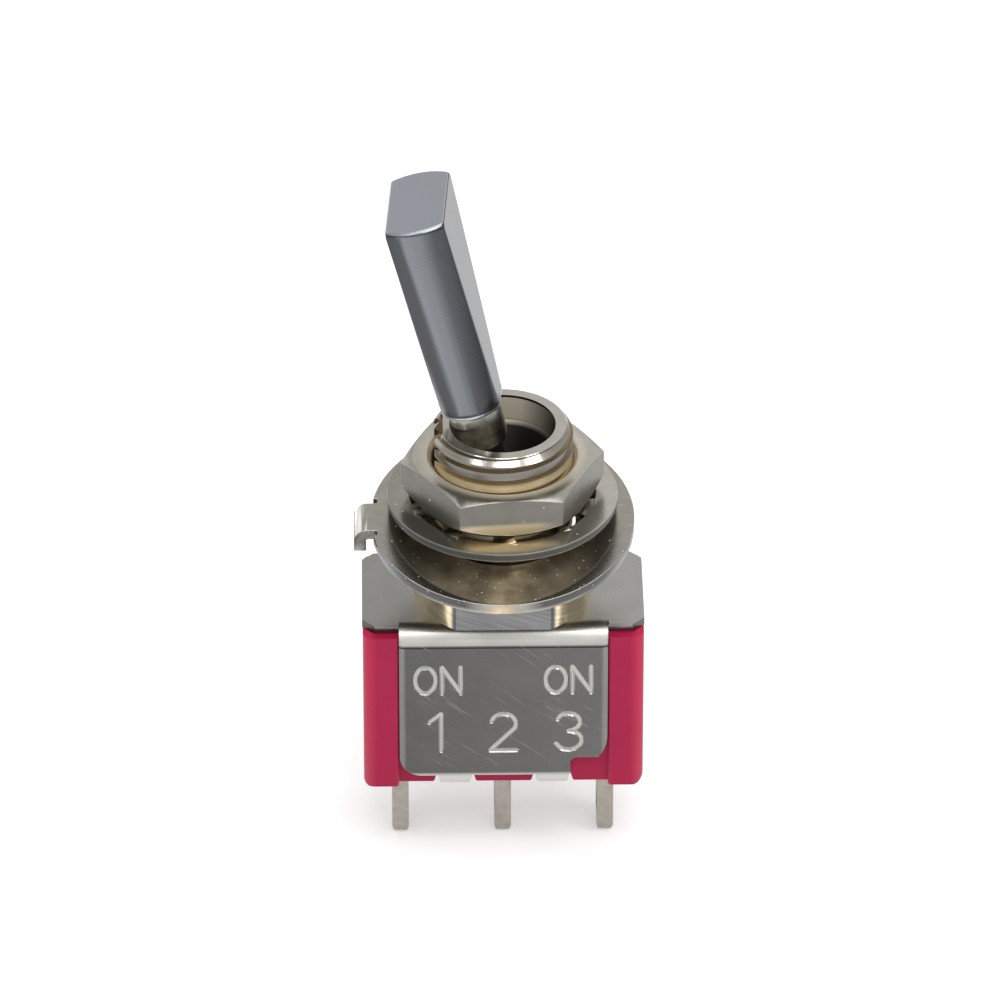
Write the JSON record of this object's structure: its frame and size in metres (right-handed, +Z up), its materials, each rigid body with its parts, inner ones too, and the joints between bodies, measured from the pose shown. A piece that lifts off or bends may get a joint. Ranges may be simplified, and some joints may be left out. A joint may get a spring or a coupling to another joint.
{
  "type": "panel toggle switch",
  "caption": "Small panel toggle switch: red case in a folded steel frame, threaded bushing with nut, washer and keyed ring, flatted metal lever, solder lugs.",
  "frame": {"origin": "on the bushing's axis, on the top face of the frame plate", "axes": "+Z up the bushing out of the panel, X along the case's length in which the lever swings, -Y towards the front strap"},
  "size_m": [0.0131, 0.0119, 0.0339],
  "materials": {
    "case_plastic": "moulded thermoset, satin, magenta red",
    "frame_steel": "cold-rolled sheet, tin plated, satin",
    "bushing_nickel": "turned brass, nickel plated, bright",
    "hardware_nickel": "pressed steel, nickel plated",
    "handle_chrome": "satin chrome plate",
    "lever_chrome": "turned, bright plate",
    "terminal_plate": "tinned brass, dull",
    "contact_silver": "silver",
    "pin_steel": "ground steel",
    "spring_steel": "music wire",
    "plunger_nylon": "natural nylon",
    "seal_epoxy": "cast epoxy"
  },
  "bodies": {
    "housing": {"case": "case_plastic", "frame": "frame_steel", "bushing": "bushing_nickel", "epoxy_seal": "seal_epoxy", "terminal_left": "terminal_plate", "terminal_middle": "terminal_plate", "terminal_right": "terminal_plate", "contact_left": "contact_silver", "contact_right": "contact_silver", "hex_nut": "hardware_nickel", "lock_washer": "hardware_nickel", "locking_ring": "hardware_nickel"},
    "lever": {"lever": "lever_chrome", "handle": "handle_chrome", "pivot_pin": "pin_steel", "plunger_spring": "spring_steel"},
    "plunger": {"plunger": "plunger_nylon"},
    "rocker": {"rocker": "contact_silver", "rocker_pad_left": "contact_silver", "rocker_pad_right": "contact_silver"}
  },
  "joints": [
    {"name": "lever_tilt", "type": "hinge", "parent": "housing", "child": "lever", "pos_m": [0, 0, 0.0042], "axis": [0, 1, 0], "range_deg": [0, 26]},
    {"name": "plunger_slide", "type": "slide", "parent": "lever", "child": "plunger", "axis": [-0.225, 0, 0.9744], "range_m": [0, 0.0004], "stiffness_N_per_m": 100, "deforming": ["plunger_spring"]},
    {"name": "rocker_tilt", "type": "hinge", "parent": "housing", "child": "rocker", "pos_m": [0, 0, -0.0046], "axis": [0, 1, 0], "range_deg": [-14, 0]}
  ],
  "couplings": [
    {"joint": "rocker_tilt", "follows": "lever_tilt", "ratio": -0.53846}
  ]
}
